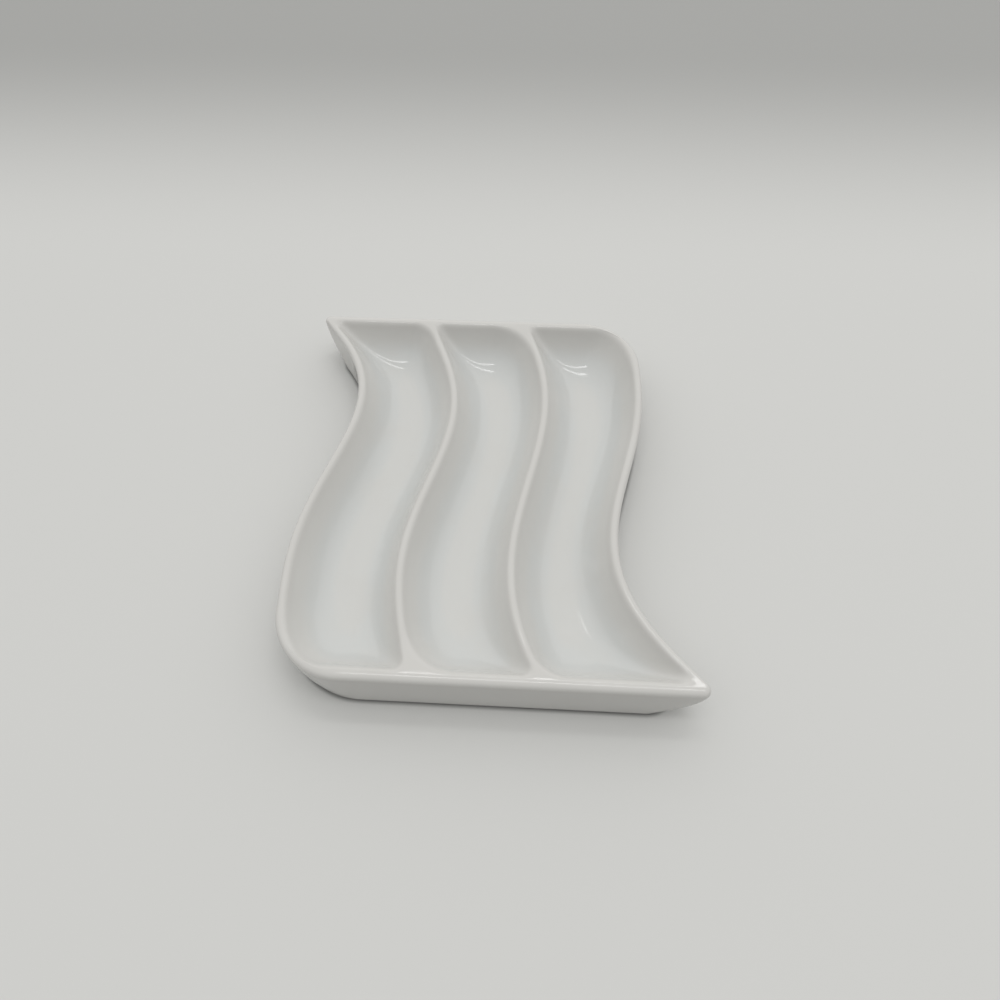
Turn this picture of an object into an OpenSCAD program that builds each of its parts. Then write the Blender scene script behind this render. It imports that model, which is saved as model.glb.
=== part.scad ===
/* [Dish] */
// Spacing of the four walls, from ridge to ridge
trough_pitch = 50; // [44:1:60]
// Length of the dish, front to back
dish_len = 225; // [190:1:265]
// Height of the dish, from the table to the rim
dish_h = 26; // [20:1:34]

/* [Troughs] */
// Thickness of the flat floors above the foot ring
floor_t = 4.8; // [3.6:0.2:8]
// Distance from a wall's ridge to the flat floor
scoop_reach = 20; // [12:1:23]
// The same distance at the front and back
end_reach = 27; // [16:1:32]
// Steepness of the scooped sides
scoop_power = 2.6; // [2:0.1:4]

/* [Walls] */
// Thickness of the rim along the sides
rim_w = 4.4; // [3.4:0.2:6]
// Thickness of the rim at the front and back
end_rim_w = 6; // [4.4:0.2:8]
// Roundness of every ridge on its trough side
ridge_r = 2.3; // [1:0.1:3.2]
// How far the dividers stay below the rim
divider_drop = 1; // [0:0.25:4]
// Taper of the outer wall from the rim to its lower edge
wall_taper = 0.4; // [0:0.2:2]
// Radius of the outer wall's lower edge
lower_edge_r = 1; // [0.6:0.2:2]

/* [Corners] */
// Radius of the two round corners, on the ridge
corner_r = 30; // [20:1:36]
// How much tighter the same corners are inside the troughs
corner_tuck = 3; // [0:0.5:5]
// Radius of the same corners at the foot
base_corner_r = 38; // [30:1:52]
// Radius of the two pointed tips, on the ridge
tip_r = 0.8; // [0.6:0.1:2]
// Radius of the same tips at the foot, where they are drawn in
prow_r = 9.5; // [6:0.5:16]
// How late the corners draw in on their way down
prow_power = 1.8; // [1:0.1:3]
// Radius inside the pointed tips
tip_hollow_r = 6.5; // [4:0.5:9]
// Radius of the web on a divider's open side
wide_web_r = 16; // [8:1:20]
// Radius of the same webs in the middle trough
middle_web_r = 24; // [10:1:28]
// Radius of the web on a divider's closed side
tight_web_r = 6; // [3:0.5:8]

/* [Foot] */
// Height of the foot ring
foot_h = 1.2; // [0.8:0.2:3]
// Width of the foot ring
foot_w = 4; // [3:0.5:6]
// Distance from the outer wall's lower edge to the foot ring
foot_inset = 5; // [3:0.5:8]
// Radius of the foot ring's inner corners under the tips
foot_tip_r = 3; // [2:0.5:5]

/* [Glaze] */
// Thickness of the glaze
glaze_t = 0.3; // [0.2:0.05:0.5]

/* [Hidden] */

// Each wall's sway to the side, as shares of the pitch, at six even steps from front to back
sway_shares = [
    [-0.22, -0.01, -0.94, 0.67, 0.28, -0.51],
    [0, -0.2, -0.76, 0.84, 0.01, -0.27],
    [0.13, -0.37, -0.39, 0.37, 0.18, -0.18],
    [0.51, -0.46, -0.73, 0.58, -0.03, 0.09]
];
// What each wall gains from step to step
sway_gain_shares = [for (wall = sway_shares) [for (i = [1:len(wall) - 1]) wall[i] - wall[i - 1]]];
last_wall = len(sway_shares) - 1;
// Radii of each trough's corners: front left, front right, back left, back right
trough_corners = [
    [corner_r - corner_tuck, tight_web_r, tip_hollow_r, wide_web_r],
    [middle_web_r, tight_web_r, tight_web_r, middle_web_r],
    [wide_web_r, tip_hollow_r, tight_web_r, corner_r - corner_tuck]
];
// Mesh lines beside a ridge, as shares of the scoop's reach
line_shares = [0, 0.04, 0.09, 0.16, 0.27, 0.44, 0.7, 1];
// Widest share of a trough that its two scoops' mesh lines take each
scoop_room_share = 0.46;
// Mesh rows between the two end scoops
middle_rows = 18;
// Rings down the outer wall, as shares of its height
wall_ring_shares = [0.4, 0.7, 0.88, 1];
// Angles of the rings round the rim's outer shoulder, and round the lower edge
shoulder_angles = [30, 60, 90];
lower_edge_angles = [45, 90];
// How much softer the scoops meet further down
corner_growth = 1.3;
// How far into the dish the mesh follows a rounded corner, in tangent lengths
corner_fade = 2;
// Step for measuring slopes
slope_step = ridge_r / 20;

shoulder_r = rim_w / 2;
// From the middle to the ridge at the front and back
half_len = dish_len / 2 - end_rim_w + shoulder_r;
floor_z = foot_h + floor_t;
under_z = foot_h - glaze_t;
scoop_lines = len(line_shares) - 1;
trough_lines = 2 * scoop_lines + 1;
last_column = last_wall * trough_lines;
last_row = 2 * scoop_lines + middle_rows;
// How the end scoops stretch on their way down, from the ridge's own roundness to the end's reach
end_stretch = (end_reach - scoop_reach) / (scoop_reach * scoop_reach);
// From the ridge in to the foot ring's outer side
foot_reach = foot_inset + wall_taper + lower_edge_r - shoulder_r;
foot_corner_r = foot_reach + foot_w + foot_tip_r;

function blend(a, b, share) = a + (b - a) * share;
function clamp(v) = max(0, min(1, v));
function ease(v) = let (s = clamp(v)) s * s * (3 - 2 * s);
function unit(v) = v / norm(v);
// Value of a Bezier curve with these handles
function bezier(handles, t) = len(handles) == 1
    ? handles[0]
    : bezier([for (i = [1:len(handles) - 1]) blend(handles[i - 1], handles[i], t)], t);

function along(y) = (y + half_len) / (2 * half_len);
function wall_x(wall, y) = trough_pitch * (wall - last_wall / 2 + bezier(sway_shares[wall], along(y)));
function wall_slope(wall, y) = trough_pitch * len(sway_gain_shares[wall]) / (2 * half_len)
    * bezier(sway_gain_shares[wall], along(y));
function square_on(wall, y) = 1 / norm([1, wall_slope(wall, y)]);

// Distances from the front or back ridge: along the table, and as the scoops count them
function end_run(distance) = distance * (1 + end_stretch * distance);
function end_distance(run) = 2 * run / (1 + sqrt(max(0, 1 + 4 * end_stretch * run)));

// How far a corner opens beyond a square one: the cosine between the directions square to its two ridges
function opening(wall, side, end, r) =
    let (slope = wall_slope(wall, end * (half_len - r)))
    max(0, side * end * slope / norm([1, slope]));
corner_openings = [
    for (trough = [0:last_wall - 1])
        let (r = trough_corners[trough])
        [
            opening(trough, 1, -1, r[0]), opening(trough + 1, -1, -1, r[1]),
            opening(trough, 1, 1, r[2]), opening(trough + 1, -1, 1, r[3])
        ]
];

// Distance from the rounded corner of two ridges that lie a and b away
function corner_distance(a, b, r, open) =
    let (
        both = 2 * a * b / max(a + b, slope_step),
        round_r = pow(pow(r, 3) + pow(corner_growth * both, 3), 1 / 3),
        u = round_r - a,
        v = round_r - b
    )
    u > open * v && v > open * u
        ? round_r - sqrt((u * u + v * v - 2 * open * u * v) / (1 - open * open))
        : min(a, b);

function ridge_distance(trough, x, y) =
    let (
        left = max(0, (x - wall_x(trough, y)) * square_on(trough, y)),
        right = max(0, (wall_x(trough + 1, y) - x) * square_on(trough + 1, y)),
        front = end_distance(max(0, half_len + y)),
        back = end_distance(max(0, half_len - y)),
        r = trough_corners[trough],
        open = corner_openings[trough]
    )
    max(0, min(
        corner_distance(left, front, r[0], open[0]),
        corner_distance(right, front, r[1], open[1]),
        corner_distance(left, back, r[2], open[2]),
        corner_distance(right, back, r[3], open[3])
    ));

// Share of the depth reached at a distance from the ridge: flat on top, steep, then easing out
function scoop_share(d) =
    let (past_ridge = pow(pow(d, 3) + pow(ridge_r, 3), 1 / 3) - ridge_r)
    1 - pow(1 - clamp(past_ridge / scoop_reach), scoop_power);

// Height of the nearest ridge: the dividers dip below the rim between their webs
function ridge_z(trough, x, y) =
    let (
        across = (x - wall_x(trough, y)) / (wall_x(trough + 1, y) - wall_x(trough, y)),
        from_rim = trough == 0 ? across : trough == last_wall - 1 ? 1 - across : 1
    )
    dish_h - divider_drop * ease(from_rim) * ease((half_len - abs(y)) / wide_web_r);

function surface_z(trough, x, y) =
    blend(ridge_z(trough, x, y), floor_z, scoop_share(ridge_distance(trough, x, y)));

function surface_normal(trough, p) =
    let (
        rise_x = surface_z(trough, p.x + slope_step, p.y) - surface_z(trough, p.x - slope_step, p.y),
        rise_y = surface_z(trough, p.x, p.y + slope_step) - surface_z(trough, p.x, p.y - slope_step)
    )
    unit([-rise_x, -rise_y, 2 * slope_step]);

function row_y(row) =
    row <= scoop_lines ? end_run(line_shares[row] * scoop_reach) - half_len
    : row >= last_row - scoop_lines ? half_len - end_run(line_shares[last_row - row] * scoop_reach)
    : (half_len - end_reach) * (2 * (row - scoop_lines) / middle_rows - 1);

function column_trough(column) = min(floor(column / trough_lines), last_wall - 1);
// Sideways place of a mesh column at one y, before the corners are rounded
function column_x(column, y) =
    let (
        trough = column_trough(column),
        line = column - trough * trough_lines,
        left = wall_x(trough, y),
        right = wall_x(trough + 1, y),
        room = (right - left) * scoop_room_share
    )
    line <= scoop_lines
        ? left + line_shares[line] * min(scoop_reach / square_on(trough, y), room)
        : right - line_shares[trough_lines - line] * min(scoop_reach / square_on(trough + 1, y), room);

// The rounding of one corner of the dish: its length along y, its three control points and their weight
function corner_arc(side, end, r) =
    let (
        wall = side < 0 ? 0 : last_wall,
        y_end = end * half_len,
        slope = wall_slope(wall, y_end - end * r),
        turn = acos(-side * end * slope / norm([1, slope])),
        run = r * tan(turn / 2) / norm([1, slope]),
        y_start = y_end - end * run,
        start = [wall_x(wall, y_start), y_start],
        start_slope = wall_slope(wall, y_start),
        corner = [start.x + start_slope * end * run, y_end],
        stop = [corner.x - side * norm(corner - start), y_end],
        start_turn = acos(-side * end * start_slope / norm([1, start_slope]))
    )
    [run, start, corner, stop, cos(start_turn / 2)];

// A point on such a rounding, which is a circle's arc written as a weighted curve
function arc_point(arc, q) =
    let (a = (1 - q) * (1 - q), b = 2 * arc[4] * q * (1 - q), c = q * q)
    (a * arc[1] + b * arc[2] + c * arc[3]) / (a + b + c);

// How far a rounded corner moves a mesh point
function corner_shift(side, end, r, column, y) =
    let (
        wall = side < 0 ? 0 : last_wall,
        arc = corner_arc(side, end, r),
        y_end = end * half_len,
        from_end = abs(y_end - y),
        end_x = wall_x(wall, y_end),
        end_run = abs(arc[3].x - end_x),
        column_run = abs(column_x(column, y_end) - end_x),
        wall_shift = from_end < arc[0]
            ? arc_point(arc, (1 - from_end / arc[0]) / 2) - [wall_x(wall, y), y]
            : [0, 0],
        end_shift = column_run < end_run
            ? arc_point(arc, (1 + column_run / end_run) / 2) - [end_x - side * column_run, y_end]
            : [0, 0],
        trough_run = abs(wall_x(wall - side, y) - wall_x(wall, y)),
        near_wall = pow(clamp(1 - abs(column_x(column, y) - wall_x(wall, y)) / trough_run), 2),
        near_end = pow(clamp(1 - from_end / (corner_fade * arc[0])), 2)
    )
    near_wall * wall_shift + near_end * end_shift
        - near_wall * near_end * (arc_point(arc, 1 / 2) - [end_x, y_end]);

// A mesh point in plan, with the pointed tips rounded by point_r and the other corners by round_r
function mesh_point(column, row, point_r, round_r) =
    let (
        y = row_y(row),
        trough = column_trough(column),
        sharp = [column_x(column, y), y]
    )
    trough == 0
        ? sharp + corner_shift(-1, -1, round_r, column, y) + corner_shift(-1, 1, point_r, column, y)
    : trough == last_wall - 1
        ? sharp + corner_shift(1, 1, round_r, column, y) + corner_shift(1, -1, point_r, column, y)
    : sharp;

// Mesh places along the rim, anticlockwise seen from above
rim_loop = concat(
    [for (column = [0:last_column]) [column, 0]],
    [for (row = [1:last_row]) [last_column, row]],
    [for (column = [1:last_column]) [last_column - column, last_row]],
    [for (row = [1:last_row - 1]) [0, last_row - row]]
);
loop_len = len(rim_loop);

function outline(point_r, round_r) = [for (place = rim_loop) mesh_point(place[0], place[1], point_r, round_r)];
// Outward direction at each point of a closed outline, nearer neighbours counting more
function outward(points) = [
    for (i = [0:loop_len - 1])
        let (
            before = points[i] - points[(i + loop_len - 1) % loop_len],
            after = points[(i + 1) % loop_len] - points[i],
            way = before / (before * before) + after / (after * after)
        )
        unit([way.y, -way.x])
];

ridge_line = outline(tip_r, corner_r);
ridge_out = outward(ridge_line);
foot_line = outline(foot_corner_r, base_corner_r);
foot_out = outward(foot_line);
// How far the outer wall stands further out at the front and back, fading along the sides
end_outs = [
    for (p = ridge_line)
        let (fade = p.x * p.y < 0 ? wide_web_r : corner_r)
        [0, sign(p.y) * (end_rim_w - rim_w) * pow(clamp(1 - (half_len - abs(p.y)) / fade), 2)]
];
// The middle of the rim's outer box, which becomes the origin
rim_x = [for (i = [0:loop_len - 1]) ridge_line[i].x + ridge_out[i].x * shoulder_r];
middle_x = (min(rim_x) + max(rim_x)) / 2;

// The outer wall's profile from the rim down: distance out, height, and shares of the way down the wall
// and of the ends' standing out. The depth in the glaze is d, so d = 0 gives the finished face and
// d = glaze_t the porcelain under it.
wall_top = dish_h - shoulder_r;
wall_foot = under_z + lower_edge_r;
function wall_profile(d) = concat(
    [for (a = shoulder_angles) [(shoulder_r - d) * sin(a), wall_top + (shoulder_r - d) * cos(a), 0, sin(a)]],
    [for (s = wall_ring_shares) [shoulder_r - d - wall_taper * s, blend(wall_top, wall_foot, s), s, 1]],
    [for (a = lower_edge_angles)
        let (out = shoulder_r - wall_taper - lower_edge_r + (lower_edge_r - d) * cos(a))
        [out, wall_foot - (lower_edge_r - d) * sin(a), 1, 1]]
);

function placed(p, z) = [p.x - middle_x, p.y, z];
function top_points(d) = [
    for (row = [0:last_row], column = [0:last_column])
        let (
            p = mesh_point(column, row, tip_r, corner_r),
            trough = column_trough(column),
            on_rim = row == 0 || row == last_row || column == 0 || column == last_column,
            z = on_rim ? dish_h : surface_z(trough, p.x, p.y),
            normal = on_rim ? [0, 0, 1] : surface_normal(trough, p)
        )
        placed(p, z) - d * normal
];
function wall_points(d) = [
    for (ring = wall_profile(d))
        let (
            drawn_in = pow(ring[2], prow_power),
            line = outline(blend(tip_r, prow_r, drawn_in), blend(corner_r, base_corner_r, drawn_in)),
            out = outward(line)
        )
        for (i = [0:loop_len - 1]) placed(line[i] + out[i] * ring[0] + end_outs[i] * ring[3], ring[1])
];
function foot_points(inward, z) = [
    for (i = [0:loop_len - 1]) placed(foot_line[i] - foot_out[i] * inward + end_outs[i], z)
];

// Triangles are listed clockwise seen from outside, and split along the creases that run in from the corners
columns = last_column + 1;
top_count = columns * (last_row + 1);
top_faces = [
    for (row = [0:last_row - 1], column = [0:last_column - 1])
        let (
            a = row * columns + column,
            b = a + 1,
            c = b + columns,
            d = a + columns,
            in_front = row < last_row / 2,
            on_left = column % trough_lines < trough_lines / 2
        )
        each in_front == on_left ? [[a, d, c], [a, c, b]] : [[a, d, b], [b, d, c]]
];
function ring_index(ring, i) = ring == 0
    ? rim_loop[i % loop_len][1] * columns + rim_loop[i % loop_len][0]
    : top_count + (ring - 1) * loop_len + i % loop_len;
function ring_faces(rings) = [
    for (ring = [0:rings - 1], i = [0:loop_len - 1])
        let (
            a = ring_index(ring, i),
            b = ring_index(ring, i + 1),
            c = ring_index(ring + 1, i + 1),
            d = ring_index(ring + 1, i)
        )
        each [[a, b, c], [a, c, d]]
];
wall_rings = len(wall_profile(0));

// The foot ring's own rings, from its outer side round to the recess that it encloses
foot_inner_reach = foot_reach + foot_w;
foot_ring_points = concat(
    foot_points(foot_reach, foot_h),
    foot_points(foot_reach, 0),
    foot_points(foot_inner_reach, 0),
    foot_points(foot_inner_reach, foot_h)
);

module porcelain_body() {
    rings = wall_rings + 4;
    recess = [for (i = [0:loop_len - 1]) ring_index(rings, i)];
    color("#efebe2")
        polyhedron(
            points = concat(top_points(glaze_t), wall_points(glaze_t), foot_ring_points),
            faces = concat(top_faces, ring_faces(rings), [recess]),
            convexity = 6
        );
}

// A skin from the foot ring's outer side up round the wall, over the rim and down through the troughs
module outer_glaze() {
    outside = concat(top_points(0), wall_points(0), foot_points(foot_reach, under_z));
    inside = concat(top_points(glaze_t), wall_points(glaze_t), foot_points(foot_reach, foot_h));
    skin = concat(top_faces, ring_faces(wall_rings + 1));
    count = len(outside);
    edge = [
        for (i = [0:loop_len - 1])
            let (a = ring_index(wall_rings + 1, i), b = ring_index(wall_rings + 1, i + 1))
            each [[a, b, b + count], [a, b + count, a + count]]
    ];
    color("#fbfbf9")
        polyhedron(
            points = concat(outside, inside),
            faces = concat(skin, [for (f = skin) [f[0] + count, f[2] + count, f[1] + count]], edge),
            convexity = 8
        );
}

// The glaze on the underside, inside the foot ring
module underside_glaze() {
    color("#f7f7f4")
        translate([0, 0, under_z])
            linear_extrude(height = glaze_t)
                polygon([for (p = foot_points(foot_inner_reach, 0)) [p.x, p.y]]);
}

porcelain_body();
outer_glaze();
underside_glaze();
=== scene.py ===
"""A three-trough olive dish in glazed porcelain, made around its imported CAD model."""

import math

import bpy
import numpy as np
from bpy.props import FloatProperty, FloatVectorProperty, IntProperty, PointerProperty
from bpy.types import Operator, Panel, PropertyGroup
from mathutils import Matrix, Vector


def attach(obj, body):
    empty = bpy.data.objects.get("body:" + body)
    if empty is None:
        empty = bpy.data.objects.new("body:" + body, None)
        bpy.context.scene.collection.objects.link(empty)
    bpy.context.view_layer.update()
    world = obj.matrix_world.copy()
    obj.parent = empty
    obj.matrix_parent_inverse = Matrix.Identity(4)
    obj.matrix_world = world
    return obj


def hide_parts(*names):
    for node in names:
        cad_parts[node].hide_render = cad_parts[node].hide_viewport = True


bl_info = {
    "name": "Olive dish",
    "version": (1, 0, 0),
    "blender": (4, 5, 0),
    "location": "3D View > Sidebar > Olive dish",
    "description": "Makes a glazed porcelain dish with three S-shaped troughs",
    "category": "Add Mesh",
}

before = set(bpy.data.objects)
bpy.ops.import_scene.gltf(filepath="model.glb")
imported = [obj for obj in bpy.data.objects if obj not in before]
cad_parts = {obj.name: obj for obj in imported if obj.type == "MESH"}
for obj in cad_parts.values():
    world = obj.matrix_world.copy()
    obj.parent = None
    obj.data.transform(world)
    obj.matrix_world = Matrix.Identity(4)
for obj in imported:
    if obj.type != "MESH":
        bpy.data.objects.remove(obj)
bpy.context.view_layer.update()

MM = 0.001
# Each wall's sway to the side, as shares of the trough spacing, at six even steps from front to back
SWAY_SHARES = np.array([
    [-0.22, -0.01, -0.94, 0.67, 0.28, -0.51],
    [0.0, -0.2, -0.76, 0.84, 0.01, -0.27],
    [0.13, -0.37, -0.39, 0.37, 0.18, -0.18],
    [0.51, -0.46, -0.73, 0.58, -0.03, 0.09],
])
SWAY_GAIN_SHARES = np.diff(SWAY_SHARES, axis=1)
LAST_WALL = len(SWAY_SHARES) - 1
# How much softer the scoops meet further down a corner
CORNER_GROWTH = 1.3
# How far a corner's rounding bends the mesh, in tangent lengths
CORNER_FADE = 2.0
# Widest share of a trough that the mesh lines of one scoop take
SCOOP_ROOM_SHARE = 0.46
# How the mesh lines crowd towards the ridges
LINE_CROWDING = 1.4
# Step for the surface's normals, as a share of the ridges' roundness
NORMAL_STEP_SHARE = 0.05
# Points in the quarter turn of a small edge, and along the floor's side
EDGE_POINTS = 4
FLOOR_POINTS = 9
TINY = 1e-9

# The glaze's depth from 0 to 1: how fast it grows away from a ridge, the share that the flat floors lose,
# where in a scoop that loss starts and how fast it comes, and its values down the wall and underneath
GLAZE_GROWTH = 1.6
GLAZE_LOSS_SHARE = 0.35
GLAZE_LOSS_START = 0.75
GLAZE_LOSS_RATE = 4
WALL_GLAZE = (0.05, 0.45)
UNDERSIDE_GLAZE = 0.4

# Where the glaze's depth, the noises, the floor's openness and the light's direction start and stop counting
POOLED_SPAN = (0.35, 1.0)
THIN_SPAN = (0.3, 0.0)
CLOUD_SPAN = (0.45, 0.75)
SPECK_SPAN = (0.022, 0.012)
ROUGH_SPAN = (0.3, 0.7)
STAIN_SPAN = (0.45, 0.72)
GRAIN_SPAN = (0.58, 0.8)
OPEN_SPAN = (0.45, 0.9)
SKY_SPAN = (-0.25, 0.75)

# How much of a second colour shows, and how bright it is beside the first
CLOUD_SHARE, CLOUD_TONE = 0.5, 0.965
GRAIN_SHARE, GRAIN_TONE = 0.6, 0.8
SPECK_SHARE = 0.35
STAIN_TONE = 0.86
# The glaze's least and most roughness beside its mean, and the other surfaces' own values
ROUGHNESS_SPREAD = (0.7, 1.3)
BISQUE_ROUGHNESS = (0.62, 0.85)
BISQUE_SPECULAR = 0.3
PAPER_ROUGHNESS = 0.9
PAPER_SPECULAR = 0.15

# Where the soft light is brightest: above the dish and behind it
SKY_DIRECTION = (0, 0.45, 0.9)
# The photograph's camera, from its fit to the dish's straight ends and ridges: place in mm, angles in degrees
CAMERA_PLACE = (23.37, -229.78, 323.02)
CAMERA_YAW, CAMERA_ELEVATION, CAMERA_ROLL = -3.8935, 54.4323, -0.9167
SENSOR_WIDTH, LENS = 36, 27
CLIP_START, CLIP_END = 0.01, 100


def length(label, words, value):
    """A property for a length: its default is given here in millimetres and kept in metres."""
    return FloatProperty(name=label, description=words, default=value * MM, unit="LENGTH", precision=4)


def number(label, words, value):
    """A property for a plain number."""
    return FloatProperty(name=label, description=words, default=value)


def whole(label, words, value, least):
    """A property for a whole number that has a least value."""
    return IntProperty(name=label, description=words, default=value, min=least)


def colour(label, words, value):
    """A property for a colour, as linear red, green and blue."""
    return FloatVectorProperty(name=label, description=words, default=value, subtype="COLOR", min=0, max=1)


class DishShape(PropertyGroup):
    """Sizes of the dish, the same as in the CAD model but for the tips.

    The CAD model's straight facets cut its tips by a little, so the smooth tips here are as much rounder.
    """
    trough_pitch: length("Trough spacing", "Spacing of the four walls, ridge to ridge", 50)
    dish_length: length("Length", "Length of the dish, front to back", 225)
    dish_height: length("Height", "Height from the table to the rim", 26)
    floor_thickness: length("Floor thickness", "Thickness of the flat floors above the foot ring", 4.8)
    scoop_reach: length("Scoop reach", "Distance from a wall's ridge to the flat floor", 20)
    end_reach: length("End reach", "The same distance at the front and back", 27)
    scoop_power: number("Scoop steepness", "Steepness of the scooped sides", 2.6)
    rim_width: length("Rim thickness", "Thickness of the rim along the sides", 4.4)
    end_rim_width: length("End rims", "Thickness of the rim at the front and back", 6)
    ridge_radius: length("Ridge roundness", "Roundness of every ridge on its trough side", 2.3)
    divider_drop: length("Divider drop", "How far the dividers stay below the rim", 1)
    wall_taper: length("Wall taper", "Taper of the outer wall from the rim down", 0.4)
    lower_edge_radius: length("Lower edge", "Radius of the outer wall's lower edge", 1)
    corner_radius: length("Round corners", "Radius of the two round corners", 30)
    corner_tuck: length("Corner tuck", "How much tighter the round corners are inside the troughs", 3)
    base_corner_radius: length("Base corners", "Radius of the round corners at the foot", 38)
    tip_radius: length("Tips", "Radius of the two pointed tips on the ridge", 0.9)
    prow_radius: length("Prows", "Radius of the tips at the foot", 9.5)
    prow_power: number("Prow curve", "How late the corners draw in on the way down", 1.8)
    tip_hollow_radius: length("Tip hollow", "Radius inside the pointed tips", 6.5)
    wide_web_radius: length("Wide web", "Radius of the web on a divider's open side", 16)
    middle_web_radius: length("Middle web", "Radius of the wide webs in the middle trough", 24)
    tight_web_radius: length("Tight web", "Radius of the web on a divider's closed side", 6)
    foot_height: length("Foot height", "Height of the foot ring", 1.2)
    foot_width: length("Foot width", "Width of the foot ring", 4)
    foot_inset: length("Foot inset", "Distance from the lower edge to the foot ring", 5)
    foot_tip_radius: length("Foot tips", "Radius of the foot ring's inner corners under the tips", 3)
    foot_edge_radius: length("Foot edges", "Softness of the foot ring's edges", 0.35)
    glaze_thickness: length("Glaze", "Thickness of the glaze", 0.3)


class MeshDetail(PropertyGroup):
    """How finely the surfaces are divided."""
    scoop_lines: whole("Scoop lines", "Mesh lines across one scoop", 18, 6)
    floor_lines: whole("Floor lines", "Mesh lines across a trough's floor", 8, 1)
    middle_rows: whole("Rows", "Mesh rows between the end scoops", 130, 20)
    shoulder_rings: whole("Shoulder rings", "Rings round the rim's outer shoulder", 8, 2)
    wall_rings: whole("Wall rings", "Rings down the outer wall", 16, 3)
    edge_rings: whole("Edge rings", "Rings round the lower edge", 5, 2)


class DishFinish(PropertyGroup):
    """Colours and surface of the glaze and the bare porcelain."""
    glaze_colour: colour("Glaze", "Colour of the glaze on open surfaces", (0.60, 0.594, 0.574))
    pooled_colour: colour("Pooled glaze", "Cooler colour where the glaze has pooled", (0.577, 0.586, 0.577))
    thin_colour: colour("Thin glaze", "Warmer colour where the glaze is thin on ridges", (0.56, 0.55, 0.53))
    speck_colour: colour("Specks", "Colour of the few tiny iron specks", (0.45, 0.42, 0.37))
    bisque_colour: colour("Bare porcelain", "Colour of the unglazed foot ring", (0.68, 0.65, 0.585))
    glaze_roughness: number("Glaze roughness", "Roughness of the glaze", 0.09)
    glaze_refraction: number("Glaze refraction", "Index of refraction of the glaze", 1.52)
    wave_height: length("Waviness", "Height of the glaze's slow waves", 0.05)
    wave_width: length("Wave width", "Width of the glaze's slow waves", 28)
    peel_height: length("Peel height", "Height of the glaze's fine orange peel", 0.002)
    peel_width: length("Peel width", "Width of the glaze's fine orange peel", 1.6)
    cloud_width: length("Cloud width", "Width of the glaze's faint clouds of tone", 22)
    gloss_width: length("Gloss width", "Width of the patches of more and less gloss", 6)
    speck_spacing: length("Speck spacing", "Spacing of the iron specks", 9)
    stain_width: length("Stain width", "Width of the bare porcelain's darker spots", 14)
    grain_width: length("Grain width", "Width of the bare porcelain's grains", 0.35)
    grain_height: length("Grain height", "Height of the bare porcelain's grains", 0.04)


class StudioSetup(PropertyGroup):
    """The floor, the soft light and the two strip lamps."""
    floor_colour: colour("Floor", "Colour of the floor under and around the dish", (0.60, 0.60, 0.588))
    # The far floor's colour is painted shade, for the light that falls off far behind the dish
    far_floor_shade_colour: colour("Far floor", "Colour of the floor far behind the dish", (0.37, 0.37, 0.362))
    fade_start: length("Fade start", "Distance behind the middle at which the floor starts to darken", 200)
    fade_end: length("Fade end", "Distance behind the middle at which the floor is darkest", 520)
    floor_size: length("Floor size", "Half of the floor's side", 6000)
    # The contact shade and its tone are a painted contact shadow in the floor's colour
    contact_reach: length("Contact shade", "Width of the dark line where the dish meets the floor", 3)
    contact_tone: number("Contact tone", "How bright the floor stays in that line", 0.45)
    sky_colour: colour("Sky", "Colour of the soft light", (1.0, 1.0, 0.985))
    sky_strength: number("Soft light", "Brightness of the soft light from above", 1.04)
    front_strength: number("Front light", "Brightness of the dim side behind the camera", 0.2)
    backdrop_strength: number("Backdrop", "Brightness of the surroundings where the camera sees them", 0.42)
    strip_strength: number("Strip lamps", "Brightness of the strip lamps", 5)
    strip_height: length("Strip height", "Height of the strip lamps over the table", 1800)
    strip_width: length("Strip width", "Width of the strip lamps", 170)
    strip_right: length("Strips' right end", "Where both strip lamps end on the right", 700)
    near_strip: length("Near strip", "How far back the nearer strip lamp hangs", -100)
    near_strip_left: length("Near strip's left end", "Where the nearer strip lamp starts", -480)
    far_strip: length("Far strip", "How far back the farther strip lamp hangs", 605)
    far_strip_left: length("Far strip's left end", "Where the farther strip lamp starts", -350)


# The dish's formulas. All work on whole arrays, in metres, with x across the troughs before centring.

def bezier(handles, t):
    """A Bezier curve's value: neighbouring handles are blended by t until one is left."""
    values = [handles[..., i] for i in range(handles.shape[-1])]
    while len(values) > 1:
        values = [low + (high - low) * t for low, high in zip(values, values[1:])]
    return values[0]


def ease(v):
    """Smooth step: three times the square less twice the cube."""
    s = np.clip(v, 0, 1)
    return s * s * (3 - 2 * s)


def blend(a, b, share):
    """The value at a share of the way from a to b: a plus the share times their difference."""
    return a + (b - a) * share


def half_length(dish):
    """From the middle to the ridge at the front and back."""
    return dish.dish_length / 2 - dish.end_rim_width + dish.rim_width / 2


def wall_x(dish, wall, y):
    """Sideways place of a wall's ridge: its even place plus the pitch times a Bezier curve of its sways."""
    t = (y + half_length(dish)) / (2 * half_length(dish))
    return dish.trough_pitch * (wall - LAST_WALL / 2 + bezier(SWAY_SHARES[wall], t))


def wall_slope(dish, wall, y):
    """Sideways step per step along y, from the Bezier curve of the sways' gains."""
    t = (y + half_length(dish)) / (2 * half_length(dish))
    steps = SWAY_GAIN_SHARES.shape[-1]
    return dish.trough_pitch * steps / (2 * half_length(dish)) * bezier(SWAY_GAIN_SHARES[wall], t)


def square_on(dish, wall, y):
    """Distance square to a wall for each unit of distance along x."""
    return 1 / np.hypot(1, wall_slope(dish, wall, y))


def end_stretch(dish):
    """What the end's reach has over the scoop's, over the square of the scoop's reach."""
    return (dish.end_reach - dish.scoop_reach) / dish.scoop_reach ** 2


def end_run(dish, distance):
    """Distance along the table from an end's ridge: the scoop's own, plus the stretch times its square."""
    return distance * (1 + end_stretch(dish) * distance)


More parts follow.
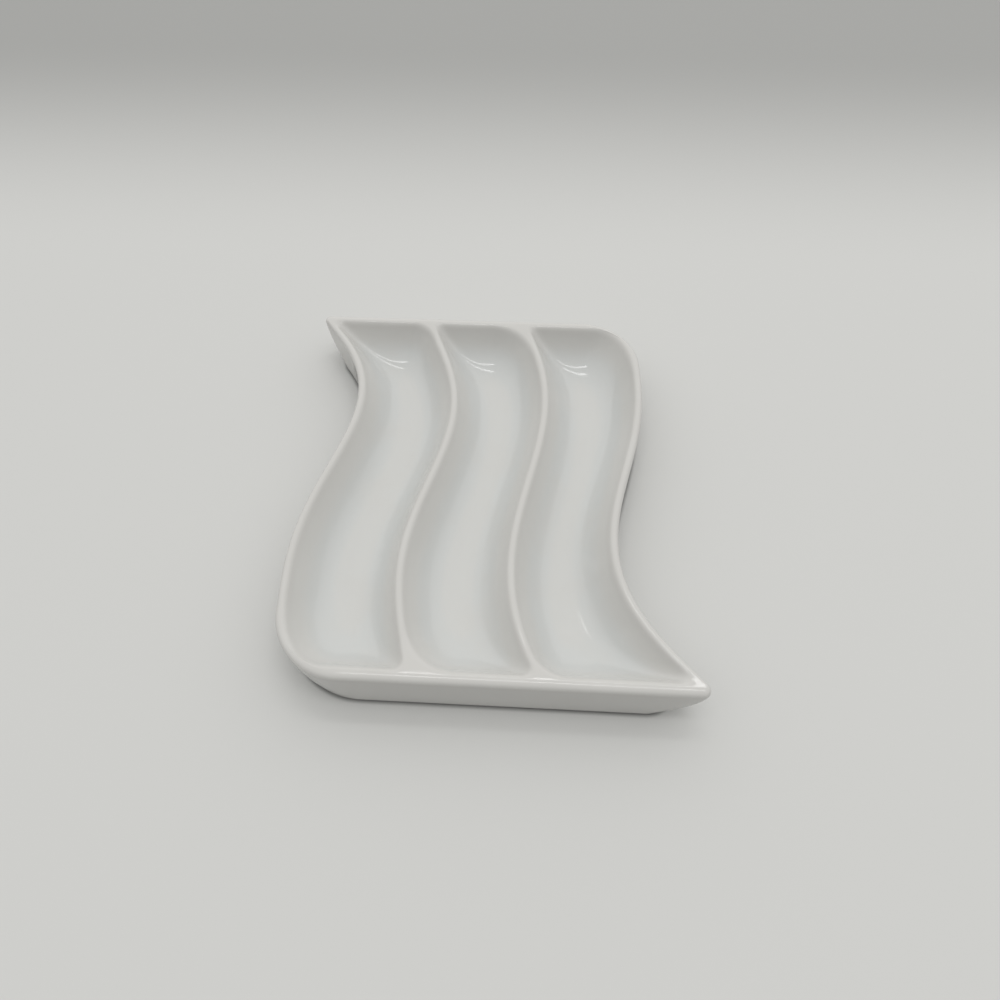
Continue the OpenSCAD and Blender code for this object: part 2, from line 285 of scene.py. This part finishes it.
def end_distance(dish, run):
    """The inverse of end_run, as the root of its quadratic."""
    return 2 * run / (1 + np.sqrt(np.maximum(0, 1 + 4 * end_stretch(dish) * run)))


def opening(dish, wall, side, end, radius):
    """How far a corner opens beyond a square one: the cosine between the directions square to its ridges."""
    slope = wall_slope(dish, wall, end * (half_length(dish) - radius))
    return np.maximum(0, side * end * slope / np.hypot(1, slope))


def corner_distance(a, b, radius, opened):
    """Distance from the rounded corner of two ridges a and b away; the radius grows with the distance.

    Between the directions square to the ridges it is the radius less the distance from the rounding's centre.
    That distance's square is u squared plus v squared less twice opened times u times v, all of it over one
    less opened squared. Elsewhere it is the nearer ridge's own distance.
    """
    both = 2 * a * b / np.maximum(a + b, TINY)
    rounded = np.cbrt(radius ** 3 + (CORNER_GROWTH * both) ** 3)
    u, v = rounded - a, rounded - b
    square = (u * u + v * v - 2 * opened * u * v) / (1 - opened * opened)
    between = (u > opened * v) & (v > opened * u)
    return np.where(between, rounded - np.sqrt(np.maximum(square, 0)), np.minimum(a, b))


def ridge_distance(dish, trough, x, y):
    """Distance from the nearest ridge: the least of the four corners' distances."""
    left = np.maximum(0, (x - wall_x(dish, trough, y)) * square_on(dish, trough, y))
    right = np.maximum(0, (wall_x(dish, trough + 1, y) - x) * square_on(dish, trough + 1, y))
    front = end_distance(dish, np.maximum(0, half_length(dish) + y))
    back = end_distance(dish, np.maximum(0, half_length(dish) - y))
    corner, tip = dish.corner_radius - dish.corner_tuck, dish.tip_hollow_radius
    wide, middle, tight = dish.wide_web_radius, dish.middle_web_radius, dish.tight_web_radius
    # front left, front right, back left, back right of each trough
    radii = np.array([[corner, tight, tip, wide], [middle, tight, tight, middle], [wide, tip, tight, corner]])
    distances = []
    for place, (a, b, side, end) in enumerate((
            (left, front, 1, -1), (right, front, -1, -1), (left, back, 1, 1), (right, back, -1, 1))):
        opened = np.array([opening(dish, k + (side < 0), side, end, radii[k, place])
                           for k in range(LAST_WALL)])
        distances.append(corner_distance(a, b, radii[trough, place], opened[trough]))
    return np.maximum(0, np.minimum.reduce(distances))


def scoop_share(dish, distance):
    """Share of the depth: flat on the ridge, steep, then one less a power of what is left of the reach."""
    past_ridge = np.cbrt(distance ** 3 + dish.ridge_radius ** 3) - dish.ridge_radius
    return 1 - (1 - np.clip(past_ridge / dish.scoop_reach, 0, 1)) ** dish.scoop_power


def ridge_z(dish, trough, x, y):
    """Height of the nearest ridge: the rim's height, less the dividers' drop between their webs."""
    across = (x - wall_x(dish, trough, y)) / (wall_x(dish, trough + 1, y) - wall_x(dish, trough, y))
    from_rim = np.where(trough == 0, across, np.where(trough == LAST_WALL - 1, 1 - across, 1.0))
    from_end = (half_length(dish) - np.abs(y)) / dish.wide_web_radius
    return dish.dish_height - dish.divider_drop * ease(from_rim) * ease(from_end)


def surface_z(dish, trough, x, y):
    """Height of the troughs and dividers: the ridge's height, less the scooped share of the depth."""
    floor = dish.foot_height + dish.floor_thickness
    return blend(ridge_z(dish, trough, x, y), floor, scoop_share(dish, ridge_distance(dish, trough, x, y)))


def surface_normal(dish, trough, x, y):
    """Unit normal from the height's rise over a small step each way."""
    step = dish.ridge_radius * NORMAL_STEP_SHARE
    rise_x = surface_z(dish, trough, x + step, y) - surface_z(dish, trough, x - step, y)
    rise_y = surface_z(dish, trough, x, y + step) - surface_z(dish, trough, x, y - step)
    normal = np.stack([-rise_x, -rise_y, np.full_like(rise_x, 2 * step)], -1)
    return normal / np.linalg.norm(normal, axis=-1, keepdims=True)


class PlanMesh:
    """Mesh lines of the dish seen from above: three troughs of columns, and rows that crowd at the ends."""

    def __init__(self, dish, detail):
        """Places lines at powers of even shares of a scoop, and rows evenly between the end scoops."""
        lines, floor_lines = detail.scoop_lines, detail.floor_lines
        self.shares = (np.arange(lines + 1) / lines) ** LINE_CROWDING
        self.lines, self.floor_lines = lines, floor_lines
        self.per_trough = 2 * lines + floor_lines
        end = half_length(dish)
        reach = dish.end_reach
        middle = np.linspace(reach - end, end - reach, detail.middle_rows + 1)[1:-1]
        run = end_run(dish, self.shares * dish.scoop_reach)
        self.rows = np.concatenate([run - end, middle, end - run[::-1]])
        columns = np.arange(LAST_WALL * self.per_trough + 1)
        self.trough = np.minimum(columns // self.per_trough, LAST_WALL - 1)
        self.line = columns - self.trough * self.per_trough

    def column_x(self, dish, y):
        """Sideways places of the columns in rows y: at fixed distances from walls, evenly on the floor."""
        y = y[:, None]
        trough, line = self.trough[None, :], self.line[None, :]
        left, right = wall_x(dish, trough, y), wall_x(dish, trough + 1, y)
        room = (right - left) * SCOOP_ROOM_SHARE
        left_reach = np.minimum(dish.scoop_reach / square_on(dish, trough, y), room)
        right_reach = np.minimum(dish.scoop_reach / square_on(dish, trough + 1, y), room)
        on_left = left + self.shares[np.minimum(line, self.lines)] * left_reach
        on_right = right - self.shares[np.clip(self.per_trough - line, 0, self.lines)] * right_reach
        on_floor = blend(left + left_reach, right - right_reach, (line - self.lines) / self.floor_lines)
        not_left = np.where(line >= self.lines + self.floor_lines, on_right, on_floor)
        return np.where(line <= self.lines, on_left, not_left)

    def corner_shift(self, dish, side, end, radius, x):
        """How far one rounded corner moves each mesh point: the rim's own shift, fading from both sides."""
        wall = 0 if side < 0 else LAST_WALL
        run, start, corner, stop, weight = corner_arc(dish, side, end, radius)
        y_end = end * half_length(dish)
        from_end = np.abs(y_end - self.rows)
        ridge = wall_x(dish, wall, self.rows)
        end_x = wall_x(dish, wall, y_end)
        rounded_run = abs(stop[0] - end_x)
        column_run = np.abs(self.column_x(dish, np.array([y_end]))[0] - end_x)

        def arc(q):
            """A circle's arc as a weighted quadratic curve over its three control points."""
            q = np.asarray(q)[..., None]
            a, b, c = (1 - q) ** 2, 2 * weight * q * (1 - q), q * q
            return (a * start + b * corner + c * stop) / (a + b + c)

        wall_shift = arc((1 - np.minimum(from_end / run, 1)) / 2) - np.stack([ridge, self.rows], -1)
        wall_shift = np.where((from_end < run)[:, None], wall_shift, 0)
        end_shift = arc((1 + np.minimum(column_run / rounded_run, 1)) / 2)
        end_shift = end_shift - np.stack([end_x - side * column_run, np.full_like(column_run, y_end)], -1)
        end_shift = np.where((column_run < rounded_run)[:, None], end_shift, 0)
        trough_run = np.abs(wall_x(dish, wall - side, self.rows) - ridge)[:, None]
        near_wall = np.clip(1 - np.abs(x - ridge[:, None]) / trough_run, 0, 1)[..., None] ** 2
        near_end = np.clip(1 - from_end / (CORNER_FADE * run), 0, 1)[:, None, None] ** 2
        corner_point = arc(0.5) - np.array([end_x, y_end])
        both = near_wall * near_end * corner_point
        return near_wall * wall_shift[:, None] + near_end * end_shift[None] - both

    def points(self, dish, tip_radius, corner_radius):
        """Places (rows, columns, 2) seen from above, with the pointed tips and the other corners rounded."""
        x = self.column_x(dish, self.rows)
        places = np.stack([x, np.broadcast_to(self.rows[:, None], x.shape)], -1).copy()
        shift_left = (self.corner_shift(dish, -1, -1, corner_radius, x)
                      + self.corner_shift(dish, -1, 1, tip_radius, x))
        shift_right = (self.corner_shift(dish, 1, 1, corner_radius, x)
                       + self.corner_shift(dish, 1, -1, tip_radius, x))
        first, last = self.trough == 0, self.trough == LAST_WALL - 1
        places[:, first] += shift_left[:, first]
        places[:, last] += shift_right[:, last]
        return places


def corner_arc(dish, side, end, radius):
    """One corner's rounding as a circle's arc: its run along y, three control points and their weight."""
    wall = 0 if side < 0 else LAST_WALL
    y_end = end * half_length(dish)
    slope = wall_slope(dish, wall, y_end - end * radius)
    turn = np.arccos(-side * end * slope / np.hypot(1, slope))
    run = radius * np.tan(turn / 2) / np.hypot(1, slope)
    y_start = y_end - end * run
    start = np.array([wall_x(dish, wall, y_start), y_start])
    start_slope = wall_slope(dish, wall, y_start)
    corner = np.array([start[0] + start_slope * end * run, y_end])
    stop = np.array([corner[0] - side * np.linalg.norm(corner - start), y_end])
    start_turn = np.arccos(-side * end * start_slope / np.hypot(1, start_slope))
    return run, start, corner, stop, np.cos(start_turn / 2)


def rim_loop(grid):
    """The border of a grid of rows and columns, anticlockwise seen from above."""
    return np.concatenate([grid[0, :], grid[1:, -1], grid[-1, -2::-1], grid[-2:0:-1, 0]])


def outward(loop):
    """Outward direction at each point of a closed line, with nearer neighbours counting more."""
    before, after = loop - np.roll(loop, 1, 0), np.roll(loop, -1, 0) - loop
    way = before / (before ** 2).sum(1, keepdims=True) + after / (after ** 2).sum(1, keepdims=True)
    side = np.stack([way[:, 1], -way[:, 0]], -1)
    return side / np.linalg.norm(side, axis=1, keepdims=True)


class DishSurface:
    """The dish's surface as a grid for the troughs and closed rings for the wall, foot and underside."""

    def __init__(self, dish, detail):
        """Lays the plan's border lines: the rim's ridge, the foot's line and the ends' offset."""
        self.dish, self.detail = dish, detail
        self.plan = PlanMesh(dish, detail)
        self.top = self.plan.points(dish, dish.tip_radius, dish.corner_radius)
        self.ridge_line = rim_loop(self.top)
        self.ridge_out = outward(self.ridge_line)
        self.shoulder = dish.rim_width / 2
        self.under_z = dish.foot_height - dish.glaze_thickness
        self.foot_reach = dish.foot_inset + dish.wall_taper + dish.lower_edge_radius - self.shoulder
        foot_radius = self.foot_reach + dish.foot_width + dish.foot_tip_radius
        self.foot_line = rim_loop(self.plan.points(dish, foot_radius, dish.base_corner_radius))
        self.foot_out = outward(self.foot_line)
        # The outer wall stands further out at the front and back, which fades along the sides
        x, y = self.ridge_line[:, 0], self.ridge_line[:, 1]
        fade = np.where(x * y < 0, dish.wide_web_radius, dish.corner_radius)
        near_end = np.clip(1 - (half_length(dish) - np.abs(y)) / fade, 0, 1) ** 2
        self.end_out = np.stack([0 * y, np.sign(y) * (dish.end_rim_width - dish.rim_width) * near_end], -1)
        rim_x = self.ridge_line[:, 0] + self.ridge_out[:, 0] * self.shoulder
        self.middle_x = (rim_x.min() + rim_x.max()) / 2
        self.loop_count = len(self.ridge_line)

    def placed(self, plan, z):
        """Plan places with a height, moved so that the dish's middle is the origin."""
        x, y = plan[..., 0] - self.middle_x, plan[..., 1]
        return np.stack([x, y, np.broadcast_to(z, x.shape)], -1)

    def top_points(self, depth):
        """The troughs, dividers and rim, moved in by depth along their normals."""
        dish = self.dish
        trough = np.broadcast_to(self.plan.trough, self.top.shape[:2])
        x, y = self.top[..., 0], self.top[..., 1]
        z = surface_z(dish, trough, x, y)
        normal = surface_normal(dish, trough, x, y)
        border = np.ones(z.shape, bool)
        border[1:-1, 1:-1] = False
        z[border] = dish.dish_height
        normal[border] = (0, 0, 1)
        return self.placed(self.top, z) - depth * normal

    def top_distance(self):
        """Distance from the nearest ridge at every point of the grid."""
        trough = np.broadcast_to(self.plan.trough, self.top.shape[:2])
        return ridge_distance(self.dish, trough, self.top[..., 0], self.top[..., 1])

    def wall_rings(self, depth):
        """Rings from the rim down: a quarter turn, a tapering wall that draws in at corners, an edge."""
        dish, detail = self.dish, self.detail
        wall_top = dish.dish_height - self.shoulder
        wall_foot = self.under_z + dish.lower_edge_radius
        rings = []
        for a in np.linspace(0, math.pi / 2, detail.shoulder_rings + 1)[1:]:
            out = (self.shoulder - depth) * math.sin(a)
            rings.append((out, wall_top + (self.shoulder - depth) * math.cos(a), 0, math.sin(a)))
        for s in np.linspace(0, 1, detail.wall_rings + 1)[1:]:
            rings.append((self.shoulder - depth - dish.wall_taper * s, blend(wall_top, wall_foot, s), s, 1))
        edge = dish.lower_edge_radius
        for a in np.linspace(0, math.pi / 2, detail.edge_rings + 1)[1:]:
            out = self.shoulder - dish.wall_taper - edge + (edge - depth) * math.cos(a)
            rings.append((out, wall_foot - (edge - depth) * math.sin(a), 1, 1))
        return [self.ring(*ring) for ring in rings]

    def ring(self, out, z, down, end_share):
        """One closed ring; the corners are rounded more the further it is down the wall."""
        dish, drawn_in = self.dish, down ** self.dish.prow_power
        line = rim_loop(self.plan.points(dish, blend(dish.tip_radius, dish.prow_radius, drawn_in),
                                         blend(dish.corner_radius, dish.base_corner_radius, drawn_in)))
        return self.placed(line + outward(line) * out + self.end_out * end_share, z)

    def foot_loop(self, inward, z):
        """The foot's line moved square to itself by inward, and out at the ends as the wall is."""
        return self.placed(self.foot_line - self.foot_out * inward + self.end_out, z)


def skin(top, rings):
    """Points and outward quads of a grid whose border runs on into closed rings."""
    row_count, column_count = top.shape[:2]
    index = np.arange(row_count * column_count).reshape(row_count, column_count)
    quads = [np.stack([index[:-1, :-1], index[:-1, 1:], index[1:, 1:], index[1:, :-1]], -1).reshape(-1, 4)]
    upper = rim_loop(index)
    for k in range(len(rings)):
        lower = index.size + k * len(upper) + np.arange(len(upper))
        quads.append(np.stack([upper, lower, np.roll(lower, -1), np.roll(upper, -1)], -1))
        upper = lower
    return np.concatenate([top.reshape(-1, 3)] + rings), np.concatenate(quads), upper


def ring_walls(start, loops, count):
    """Outward quads that join closed loops in order; start is the first loop's first index."""
    quads = []
    for k in range(loops - 1):
        upper = start + k * count + np.arange(count)
        lower = upper + count
        quads.append(np.stack([upper, lower, np.roll(lower, -1), np.roll(upper, -1)], -1))
    return np.concatenate(quads)


def lay_mesh(name, points, faces, material):
    """A smooth-shaded object at the origin from points and lists of face corners."""
    mesh = bpy.data.meshes.new(name)
    mesh.from_pydata(points.tolist(), [], faces)
    mesh.polygons.foreach_set("use_smooth", np.ones(len(mesh.polygons), bool))
    mesh.update()
    mesh.materials.append(material)
    piece = bpy.data.objects.new(name, mesh)
    bpy.context.scene.collection.objects.link(piece)
    return piece


def add_attribute(piece, name, values):
    """Stores one number for each point of a piece, for its material to read."""
    layer = piece.data.attributes.new(name, "FLOAT", "POINT")
    layer.data.foreach_set("value", values.astype(np.float32))


# Materials

def new_material(name):
    """A new node material, with its nodes, links and shader."""
    material = bpy.data.materials.new(name)
    material.use_nodes = True
    nodes = material.node_tree.nodes
    return material, nodes, material.node_tree.links, nodes["Principled BSDF"]


def noise(nodes, links, place, width, detail):
    """Noise on Object coordinates with features of about the given width, and finer ones for more detail."""
    texture = nodes.new("ShaderNodeTexNoise")
    texture.inputs["Scale"].default_value = 1 / width
    texture.inputs["Detail"].default_value = detail
    links.new(place.outputs["Object"], texture.inputs["Vector"])
    return texture


def mix_colours(nodes, links, low, high, share):
    """Mixes two colours, or a socket's colour and another one, by a share socket."""
    mix = nodes.new("ShaderNodeMix")
    mix.data_type = "RGBA"
    for socket, value in ((mix.inputs["A"], low), (mix.inputs["B"], high)):
        if isinstance(value, bpy.types.NodeSocket):
            links.new(value, socket)
        else:
            socket.default_value = (*value, 1)
    links.new(share, mix.inputs["Factor"])
    return mix.outputs["Result"]


def ramp(nodes, links, source, span, onto=(0.0, 1.0)):
    """Maps a socket's values across a span smoothly onto another one."""
    node = nodes.new("ShaderNodeMapRange")
    node.interpolation_type = "SMOOTHSTEP"
    for socket, value in zip(("From Min", "From Max", "To Min", "To Max"), (*span, *onto)):
        node.inputs[socket].default_value = value
    links.new(source, node.inputs["Value"])
    return node.outputs["Result"]


def bump(nodes, links, height, distance, normal=None):
    """A normal raised by a height socket's values times the distance, over another normal if one is given."""
    node = nodes.new("ShaderNodeBump")
    node.inputs["Distance"].default_value = distance
    links.new(height, node.inputs["Height"])
    if normal is not None:
        links.new(normal, node.inputs["Normal"])
    return node.outputs["Normal"]


def toned(values, tone):
    """Each value times a tone."""
    return [value * tone for value in values]


def white_glaze(finish):
    """Glossy white glaze: cooler where it pools, warmer where thin, with slow waves and fine orange peel."""
    material, nodes, links, shader = new_material("white_glaze")
    place = nodes.new("ShaderNodeTexCoord")
    depth = nodes.new("ShaderNodeAttribute")
    depth.attribute_name = "glaze_depth"
    pooled = ramp(nodes, links, depth.outputs["Fac"], POOLED_SPAN)
    thin = ramp(nodes, links, depth.outputs["Fac"], THIN_SPAN)
    base = mix_colours(nodes, links, finish.glaze_colour, finish.pooled_colour, pooled)
    base = mix_colours(nodes, links, base, finish.thin_colour, thin)
    # Faint clouds of tone, and a few tiny iron specks
    clouds = noise(nodes, links, place, finish.cloud_width, detail=3)
    base = mix_colours(nodes, links, base, toned(finish.glaze_colour, CLOUD_TONE),
                       ramp(nodes, links, clouds.outputs["Fac"], CLOUD_SPAN, (0, CLOUD_SHARE)))
    specks = nodes.new("ShaderNodeTexVoronoi")
    specks.inputs["Scale"].default_value = 1 / finish.speck_spacing
    links.new(place.outputs["Object"], specks.inputs["Vector"])
    base = mix_colours(nodes, links, base, finish.speck_colour,
                       ramp(nodes, links, specks.outputs["Distance"], SPECK_SPAN, (0, SPECK_SHARE)))
    links.new(base, shader.inputs["Base Color"])
    patches = noise(nodes, links, place, finish.gloss_width, detail=2)
    roughness = toned(ROUGHNESS_SPREAD, finish.glaze_roughness)
    links.new(ramp(nodes, links, patches.outputs["Fac"], ROUGH_SPAN, roughness), shader.inputs["Roughness"])
    waves = noise(nodes, links, place, finish.wave_width, detail=1)
    peel = noise(nodes, links, place, finish.peel_width, detail=1)
    slow = bump(nodes, links, waves.outputs["Fac"], finish.wave_height)
    links.new(bump(nodes, links, peel.outputs["Fac"], finish.peel_height, slow), shader.inputs["Normal"])
    shader.inputs["IOR"].default_value = finish.glaze_refraction
    return material


def bare_porcelain(finish):
    """Fired porcelain without glaze: warm, matt and fine-grained, with faint darker spots."""
    material, nodes, links, shader = new_material("bare_porcelain")
    place = nodes.new("ShaderNodeTexCoord")
    grain = noise(nodes, links, place, finish.grain_width, detail=3)
    stains = noise(nodes, links, place, finish.stain_width, detail=3)
    base = mix_colours(nodes, links, finish.bisque_colour, toned(finish.bisque_colour, STAIN_TONE),
                       ramp(nodes, links, stains.outputs["Fac"], STAIN_SPAN))
    base = mix_colours(nodes, links, base, toned(finish.bisque_colour, GRAIN_TONE),
                       ramp(nodes, links, grain.outputs["Fac"], GRAIN_SPAN, (0, GRAIN_SHARE)))
    links.new(base, shader.inputs["Base Color"])
    roughness = ramp(nodes, links, grain.outputs["Fac"], ROUGH_SPAN, BISQUE_ROUGHNESS)
    links.new(roughness, shader.inputs["Roughness"])
    links.new(bump(nodes, links, grain.outputs["Fac"], finish.grain_height), shader.inputs["Normal"])
    shader.inputs["Specular IOR Level"].default_value = BISQUE_SPECULAR
    return material


def studio_floor(studio):
    """Matt paper with painted shade: its colour darkens far behind the dish, and a painted contact shadow
    makes a dark line in the gap round the foot.
    """
    material, nodes, links, shader = new_material("studio_floor")
    place = nodes.new("ShaderNodeTexCoord")
    split = nodes.new("ShaderNodeSeparateXYZ")
    links.new(place.outputs["Object"], split.inputs["Vector"])
    # Painted shade: the paper's colour fades to the far, darker colour behind the dish
    far = ramp(nodes, links, split.outputs["Y"], (studio.fade_start, studio.fade_end))
    paper = mix_colours(nodes, links, studio.floor_colour, studio.far_floor_shade_colour, far)
    # Painted contact shadow: ambient occlusion darkens the floor's colour near the dish
    contact = nodes.new("ShaderNodeAmbientOcclusion")
    contact.inputs["Distance"].default_value = studio.contact_reach
    open_share = ramp(nodes, links, contact.outputs["AO"], OPEN_SPAN)
    shade = toned(studio.floor_colour, studio.contact_tone)
    links.new(mix_colours(nodes, links, shade, paper, open_share), shader.inputs["Base Color"])
    shader.inputs["Roughness"].default_value = PAPER_ROUGHNESS
    shader.inputs["Specular IOR Level"].default_value = PAPER_SPECULAR
    return material


# Operators, one for each piece or group of pieces

def settings(context):
    """The scene's four groups of settings: shape, mesh detail, finish and studio."""
    scene = context.scene
    return scene.olive_dish_shape, scene.olive_dish_detail, scene.olive_dish_finish, scene.olive_dish_studio


class MakePorcelainBody(Operator):
    """Make the fired body, of which only the foot ring stays bare"""
    bl_idname = "olive_dish.porcelain_body"
    bl_label = "Porcelain body"

    def execute(self, context):
        dish, detail, finish, _ = settings(context)
        surface = DishSurface(dish, detail)
        reach, width, edge = surface.foot_reach, dish.foot_width, dish.foot_edge_radius
        foot_z = dish.foot_height
        turns = np.linspace(0, math.pi / 2, EDGE_POINTS)
        loops = [(reach, foot_z), (reach, 2 * edge)]
        loops += [(reach + edge - edge * math.cos(a), edge - edge * math.sin(a)) for a in turns]
        loops += [(reach + 2 * edge, 0), (reach + width - 2 * edge, 0)]
        loops += [(reach + width - edge + edge * math.sin(a), edge - edge * math.cos(a)) for a in turns]
        loops += [(reach + width, 2 * edge), (reach + width, foot_z), (reach + width + edge, foot_z)]
        rings = surface.wall_rings(dish.glaze_thickness)
        rings += [surface.foot_loop(inward, z) for inward, z in loops]
        points, quads, last = skin(surface.top_points(dish.glaze_thickness), rings)
        faces = quads.tolist() + [last.tolist()]
        body = lay_mesh("porcelain_body_fired", points, faces, bare_porcelain(finish))
        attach(body, "root")
        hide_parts("porcelain_body")
        return {"FINISHED"}


class MakeGlaze(Operator):
    """Make the glaze over the troughs, rim and wall, and the glaze inside the foot ring"""
    bl_idname = "olive_dish.glaze"
    bl_label = "Glaze"

    def execute(self, context):
        dish, detail, finish, _ = settings(context)
        surface = DishSurface(dish, detail)
        glaze = white_glaze(finish)
        self.outer(dish, surface, glaze)
        self.underside(dish, surface, glaze)
        return {"FINISHED"}

    def outer(self, dish, surface, glaze):
        """A closed skin: the finished surface, the same moved in by the glaze's thickness, and an edge."""
        finished = surface.wall_rings(0)
        finished.append(surface.foot_loop(surface.foot_reach, surface.under_z))
        bonded = surface.wall_rings(dish.glaze_thickness)
        bonded.append(surface.foot_loop(surface.foot_reach, dish.foot_height))
        points, quads, last = skin(surface.top_points(0), finished)
        inner_points, inner_quads, inner_last = skin(surface.top_points(dish.glaze_thickness), bonded)
        count = len(points)
        inner_quads = inner_quads[:, ::-1] + count
        inner_last = inner_last + count
        edge = np.stack([last, inner_last, np.roll(inner_last, -1), np.roll(last, -1)], -1)
        piece = lay_mesh("outer_glaze_coat", np.concatenate([points, inner_points]),
                         np.concatenate([quads, inner_quads, edge]).tolist(), glaze)
        # Thin on the ridges and edges, pooled at the foot of the scoops
        distance = surface.top_distance() / dish.scoop_reach
        loss = GLAZE_LOSS_SHARE * ease((distance - GLAZE_LOSS_START) * GLAZE_LOSS_RATE)
        on_top = ease(distance * GLAZE_GROWTH) * (1 - loss)
        on_wall = [np.full(surface.loop_count, value) for value in np.linspace(*WALL_GLAZE, len(finished))]
        depth = np.concatenate([on_top.ravel()] + on_wall)
        add_attribute(piece, "glaze_depth", np.concatenate([depth, depth]))
        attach(piece, "root")
        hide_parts("outer_glaze")

    def underside(self, dish, surface, glaze):
        """A thin plate inside the foot ring, flat below, with a softly rounded edge."""
        reach = surface.foot_reach + dish.foot_width
        low, high, round_by = surface.under_z, dish.foot_height, dish.glaze_thickness / 2
        turns = np.linspace(0, math.pi / 2, EDGE_POINTS)
        loops = [(reach + 2 * round_by, high), (reach, high), (reach, low + round_by)]
        loops += [(reach + round_by * (1 - math.cos(a)), low + round_by * (1 - math.sin(a)))
                  for a in turns[1:]]
        loops += [(reach + 3 * round_by, low)]
        points = np.concatenate([surface.foot_loop(inward, z) for inward, z in loops])
        count = surface.loop_count
        quads = ring_walls(0, len(loops), count)
        upper, lower = np.arange(count), len(points) - count + np.arange(count)
        faces = quads.tolist() + [upper.tolist(), lower[::-1].tolist()]
        piece = lay_mesh("underside_glaze_coat", points, faces, glaze)
        add_attribute(piece, "glaze_depth", np.full(len(points), UNDERSIDE_GLAZE))
        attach(piece, "root")
        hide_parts("underside_glaze")


class MakeStudio(Operator):
    """Make the floor, the soft light, the strip lamps and the camera"""
    bl_idname = "olive_dish.studio"
    bl_label = "Studio"

    def execute(self, context):
        *_, studio = settings(context)
        self.floor(studio)
        self.soft_light(context, studio)
        self.strip_lamps(context, studio)
        self.camera(context)
        context.scene.view_settings.view_transform = "Standard"
        return {"FINISHED"}

    def floor(self, studio):
        """A flat sheet on the table plane, square to the dish."""
        side = np.linspace(-studio.floor_size, studio.floor_size, FLOOR_POINTS)
        x, y = np.meshgrid(side, side)
        points = np.stack([x, y, np.zeros_like(x)], -1)
        sheet, quads, _ = skin(points, [])
        floor = lay_mesh("studio_floor", sheet, quads.tolist(), studio_floor(studio))

    def soft_light(self, context, studio):
        """A world that is bright above and behind the dish and dim on the camera's side."""
        world = bpy.data.worlds.new("soft_studio")
        world.use_nodes = True
        nodes, links = world.node_tree.nodes, world.node_tree.links
        background = nodes["Background"]
        place = nodes.new("ShaderNodeTexCoord")
        towards = nodes.new("ShaderNodeVectorMath")
        towards.operation = "DOT_PRODUCT"
        towards.inputs[1].default_value = Vector(SKY_DIRECTION).normalized()
        links.new(place.outputs["Generated"], towards.inputs[0])
        strength = ramp(nodes, links, towards.outputs["Value"], SKY_SPAN,
                        (studio.front_strength, studio.sky_strength))
        path = nodes.new("ShaderNodeLightPath")
        seen = nodes.new("ShaderNodeMix")
        links.new(path.outputs["Is Camera Ray"], seen.inputs["Factor"])
        links.new(strength, seen.inputs["A"])
        seen.inputs["B"].default_value = studio.backdrop_strength
        links.new(seen.outputs["Result"], background.inputs["Strength"])
        background.inputs["Color"].default_value = (*studio.sky_colour, 1)
        context.scene.world = world

    def strip_lamps(self, context, studio):
        """Two long lamps across the dish, high over it, for the paired bars in the far scoops."""
        for name, left, y in (("strip_near", studio.near_strip_left, studio.near_strip),
                              ("strip_far", studio.far_strip_left, studio.far_strip)):
            lamp = bpy.data.lights.new(name, "AREA")
            lamp.shape = "RECTANGLE"
            lamp.size, lamp.size_y = studio.strip_right - left, studio.strip_width
            # An area lamp's radiance is its power over pi times its area
            lamp.energy = studio.strip_strength * math.pi * lamp.size * lamp.size_y
            holder = bpy.data.objects.new(name, lamp)
            holder.location = ((studio.strip_right + left) / 2, y, studio.strip_height)
            context.scene.collection.objects.link(holder)

    def camera(self, context):
        """Turns by the yaw about z, then by the elevation about x, then by the roll about the view's axis."""
        yaw, elevation, roll = (math.radians(a) for a in (CAMERA_YAW, CAMERA_ELEVATION, CAMERA_ROLL))
        turn = np.array([[math.cos(yaw), -math.sin(yaw), 0], [math.sin(yaw), math.cos(yaw), 0], [0, 0, 1]])
        tilt = np.array([[1, 0, 0], [0, -math.sin(elevation), -math.cos(elevation)],
                         [0, math.cos(elevation), -math.sin(elevation)]])
        spin = np.array([[math.cos(roll), -math.sin(roll), 0], [math.sin(roll), math.cos(roll), 0],
                         [0, 0, 1]])
        to_world = (spin @ tilt @ turn).T @ np.diag([1, -1, -1])
        data = bpy.data.cameras.new("camera")
        data.sensor_width, data.lens = SENSOR_WIDTH, LENS
        data.clip_start, data.clip_end = CLIP_START, CLIP_END
        camera = bpy.data.objects.new("camera", data)
        place = Matrix.Translation(Vector(CAMERA_PLACE) * MM)
        camera.matrix_world = place @ Matrix(to_world.tolist()).to_4x4()
        context.scene.collection.objects.link(camera)
        context.scene.camera = camera


class OliveDishPanel(Panel):
    """Lists the pieces and their settings"""
    bl_idname = "VIEW3D_PT_olive_dish"
    bl_label = "Olive dish"
    bl_space_type = "VIEW_3D"
    bl_region_type = "UI"
    bl_category = "Olive dish"

    def draw(self, context):
        for operator in (MakePorcelainBody, MakeGlaze, MakeStudio):
            self.layout.operator(operator.bl_idname)
        for group in settings(context):
            box = self.layout.box()
            for name in group.__annotations__:
                box.prop(group, name)


GROUPS = (("olive_dish_shape", DishShape), ("olive_dish_detail", MeshDetail),
          ("olive_dish_finish", DishFinish), ("olive_dish_studio", StudioSetup))
CLASSES = (DishShape, MeshDetail, DishFinish, StudioSetup,
           MakePorcelainBody, MakeGlaze, MakeStudio, OliveDishPanel)


def register():
    for cls in CLASSES:
        bpy.utils.register_class(cls)
    for name, group in GROUPS:
        setattr(bpy.types.Scene, name, PointerProperty(type=group))


def unregister():
    for name, _ in GROUPS:
        delattr(bpy.types.Scene, name)
    for cls in reversed(CLASSES):
        bpy.utils.unregister_class(cls)


def main():
    register()
    bpy.ops.olive_dish.porcelain_body()
    bpy.ops.olive_dish.glaze()
    bpy.ops.olive_dish.studio()


if __name__ == "__main__":
    main()
